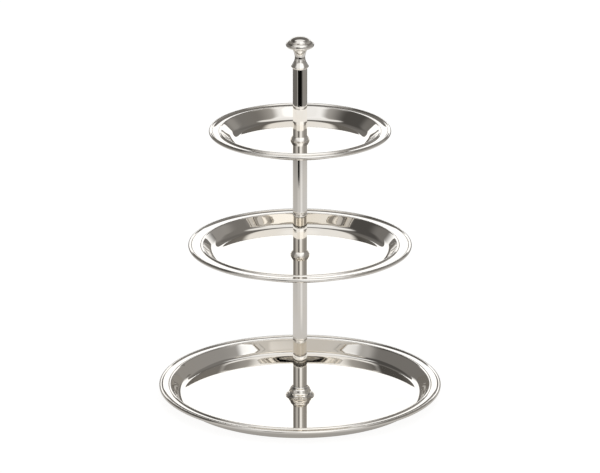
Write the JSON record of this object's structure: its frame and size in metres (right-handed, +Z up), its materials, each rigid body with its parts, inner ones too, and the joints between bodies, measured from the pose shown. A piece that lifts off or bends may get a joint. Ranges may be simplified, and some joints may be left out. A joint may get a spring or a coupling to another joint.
{
  "type": "tiered cake stand",
  "caption": "Cake stand: round rimmed plates, largest at the foot and smallest at the top, held on a central column of screwed tubes under a domed knob.",
  "frame": {"origin": "on the column's axis, on the surface that the stand rests on, under the middle of the bottom plate", "axes": "+Z up along the column; +X to the right and +Y to the back as the stand is seen from the front (it is round, so any side can be the front)"},
  "size_m": [0.3, 0.3, 0.3985],
  "materials": {
    "silver_plate": "mirror-polished silver plate over spun brass, faintly warm, with fine polishing marks",
    "turned_brass": "plain turned brass, unpolished",
    "zinc_steel": "zinc-plated turned steel"
  },
  "bodies": {
    "base": {"bottom_plate": "silver_plate", "base_screw": "zinc_steel", "base_washer": "zinc_steel", "foot_flange": "silver_plate", "lower_tube": "silver_plate", "lower_tube_foot_bush": "turned_brass", "lower_tube_head_bush": "turned_brass", "middle_seat_washer": "zinc_steel"},
    "middle_plate": {"middle_plate": "silver_plate"},
    "middle_collar": {"middle_collar": "silver_plate"},
    "middle_section": {"middle_tube": "silver_plate", "middle_tube_foot_bush": "turned_brass", "middle_tube_head_bush": "turned_brass", "middle_stud": "zinc_steel", "top_seat_washer": "zinc_steel"},
    "top_plate": {"top_plate": "silver_plate"},
    "top_collar": {"top_collar": "silver_plate"},
    "upper_section": {"upper_tube": "silver_plate", "upper_tube_foot_bush": "turned_brass", "upper_tube_head_bush": "turned_brass", "upper_stud": "zinc_steel"},
    "finial_collar": {"finial_collar": "silver_plate"},
    "finial": {"finial_knob": "silver_plate", "finial_stud": "zinc_steel"}
  },
  "joints": [
    {"name": "middle_plate_lift", "type": "slide", "parent": "base", "child": "middle_plate", "axis": [0, 0, 1], "range_m": [0, 0.04]},
    {"name": "middle_section_rise", "type": "slide", "parent": "middle_plate", "child": "middle_collar", "axis": [0, 0, 1], "range_m": [0, 0.0085]},
    {"name": "middle_section_turn", "type": "hinge", "parent": "middle_collar", "child": "middle_section", "pos_m": [0, 0, 0.1592], "axis": [0, 0, 1], "range_deg": [0, 2880]},
    {"name": "top_plate_lift", "type": "slide", "parent": "middle_section", "child": "top_plate", "axis": [0, 0, 1], "range_m": [0, 0.04]},
    {"name": "upper_section_rise", "type": "slide", "parent": "top_plate", "child": "top_collar", "axis": [0, 0, 1], "range_m": [0, 0.008]},
    {"name": "upper_section_turn", "type": "hinge", "parent": "top_collar", "child": "upper_section", "pos_m": [0, 0, 0.2861], "axis": [0, 0, 1], "range_deg": [0, 2885]},
    {"name": "finial_rise", "type": "slide", "parent": "upper_section", "child": "finial_collar", "axis": [0, 0, 1], "range_m": [0, 0.008]},
    {"name": "finial_turn", "type": "hinge", "parent": "finial_collar", "child": "finial", "pos_m": [0, 0, 0.3667], "axis": [0, 0, 1], "range_deg": [0, 2885]}
  ],
  "couplings": [
    {"joint": "middle_section_rise", "follows": "middle_section_turn", "m_per_rad": 0.00015915},
    {"joint": "upper_section_turn", "follows": "upper_section_rise", "rad_per_m": 6283.2},
    {"joint": "finial_turn", "follows": "finial_rise", "rad_per_m": 6283.2}
  ]
}
